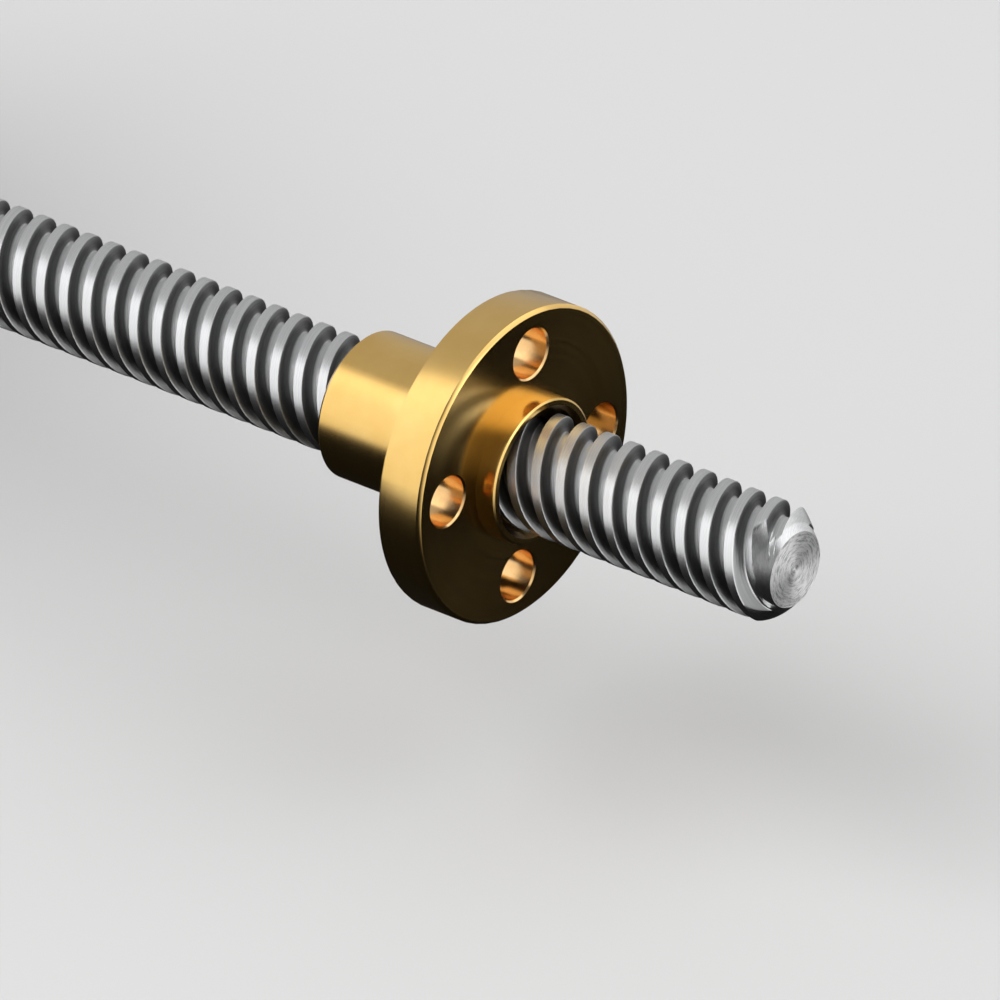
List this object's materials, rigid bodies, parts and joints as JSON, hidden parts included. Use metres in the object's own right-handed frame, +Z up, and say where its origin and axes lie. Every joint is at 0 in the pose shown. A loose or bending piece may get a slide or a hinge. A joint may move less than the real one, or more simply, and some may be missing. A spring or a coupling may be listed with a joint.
{
  "type": "stepper motor with lead screw",
  "caption": "Square hybrid stepper motor whose shaft is a multi-start trapezoidal lead screw, with a flanged brass nut that travels along it as the rotor turns.",
  "frame": {"origin": "bottom centre of the whole assembly's box, on the surface that the motor's side face rests on", "axes": "+X along the screw, from the motor to the screw's free end; +Z up, through the connector's side face"},
  "size_m": [0.14, 0.0424, 0.0423],
  "materials": {
    "cast_aluminium": "die-cast and machined, satin",
    "lamination_steel": "stacked laminations under black paint, satin",
    "bobbin_nylon": "moulded, matt",
    "enamelled_copper": "enamelled winding wire, glossy",
    "plain_steel": "zinc-plated or plain steel, satin",
    "circuit_board": "solder mask, satin",
    "connector_nylon": "moulded, satin",
    "tinned_metal": "tin-plated, bright",
    "bearing_steel": "ground and polished",
    "screw_steel": "rolled and brushed along the thread, satin",
    "magnet_alloy": "sintered, matt",
    "brass": "turned, satin"
  },
  "bodies": {
    "housing": {"front_end_cap": "cast_aluminium", "rear_end_cap": "cast_aluminium", "stator_stack": "lamination_steel", "bobbin_front": "bobbin_nylon", "bobbin_rear": "bobbin_nylon", "coil_1": "enamelled_copper", "coil_2": "enamelled_copper", "coil_3": "enamelled_copper", "coil_4": "enamelled_copper", "coil_5": "enamelled_copper", "coil_6": "enamelled_copper", "coil_7": "enamelled_copper", "coil_8": "enamelled_copper", "case_screw_1": "plain_steel", "case_screw_2": "plain_steel", "case_screw_3": "plain_steel", "case_screw_4": "plain_steel", "winding_board": "circuit_board", "connector_housing": "connector_nylon", "connector_pin_1": "tinned_metal", "connector_pin_2": "tinned_metal", "connector_pin_3": "tinned_metal", "connector_pin_4": "tinned_metal", "connector_pin_5": "tinned_metal", "connector_pin_6": "tinned_metal", "front_bearing_outer_ring": "bearing_steel", "rear_bearing_outer_ring": "bearing_steel", "front_bearing_shield_1": "tinned_metal", "front_bearing_shield_2": "tinned_metal", "rear_bearing_shield_1": "tinned_metal", "rear_bearing_shield_2": "tinned_metal", "wave_spring": "plain_steel"},
    "rotor": {"lead_screw": "screw_steel", "rotor_cup_front": "plain_steel", "rotor_cup_rear": "plain_steel", "rotor_magnet": "magnet_alloy", "rotor_spacer_front": "plain_steel", "rotor_spacer_rear": "plain_steel", "front_bearing_inner_ring": "bearing_steel", "rear_bearing_inner_ring": "bearing_steel"},
    "front_cage": {"front_bearing_cage": "plain_steel", "front_bearing_ball_1": "bearing_steel", "front_bearing_ball_2": "bearing_steel", "front_bearing_ball_3": "bearing_steel", "front_bearing_ball_4": "bearing_steel", "front_bearing_ball_5": "bearing_steel", "front_bearing_ball_6": "bearing_steel", "front_bearing_ball_7": "bearing_steel"},
    "rear_cage": {"rear_bearing_cage": "plain_steel", "rear_bearing_ball_1": "bearing_steel", "rear_bearing_ball_2": "bearing_steel", "rear_bearing_ball_3": "bearing_steel", "rear_bearing_ball_4": "bearing_steel", "rear_bearing_ball_5": "bearing_steel", "rear_bearing_ball_6": "bearing_steel", "rear_bearing_ball_7": "bearing_steel"},
    "nut": {"lead_nut": "brass"}
  },
  "joints": [
    {"name": "screw_spin", "type": "hinge", "parent": "housing", "child": "rotor", "pos_m": [0, 0, 0.02115], "axis": [1, 0, 0], "range_deg": [-720, 2700]},
    {"name": "nut_travel", "type": "slide", "parent": "housing", "child": "nut", "axis": [1, 0, 0], "range_m": [-0.0601, 0.0161]},
    {"name": "front_cage_spin", "type": "hinge", "parent": "housing", "child": "front_cage", "pos_m": [-0.034, 0, 0.02115], "axis": [1, 0, 0], "range_deg": [-280, 1048]},
    {"name": "rear_cage_spin", "type": "hinge", "parent": "housing", "child": "rear_cage", "pos_m": [-0.065, 0, 0.02115], "axis": [1, 0, 0], "range_deg": [-280, 1048]}
  ],
  "couplings": [
    {"joint": "nut_travel", "follows": "screw_spin", "m_per_rad": -0.0012732},
    {"joint": "front_cage_spin", "follows": "screw_spin", "ratio": 0.3877},
    {"joint": "rear_cage_spin", "follows": "screw_spin", "ratio": 0.3877}
  ]
}
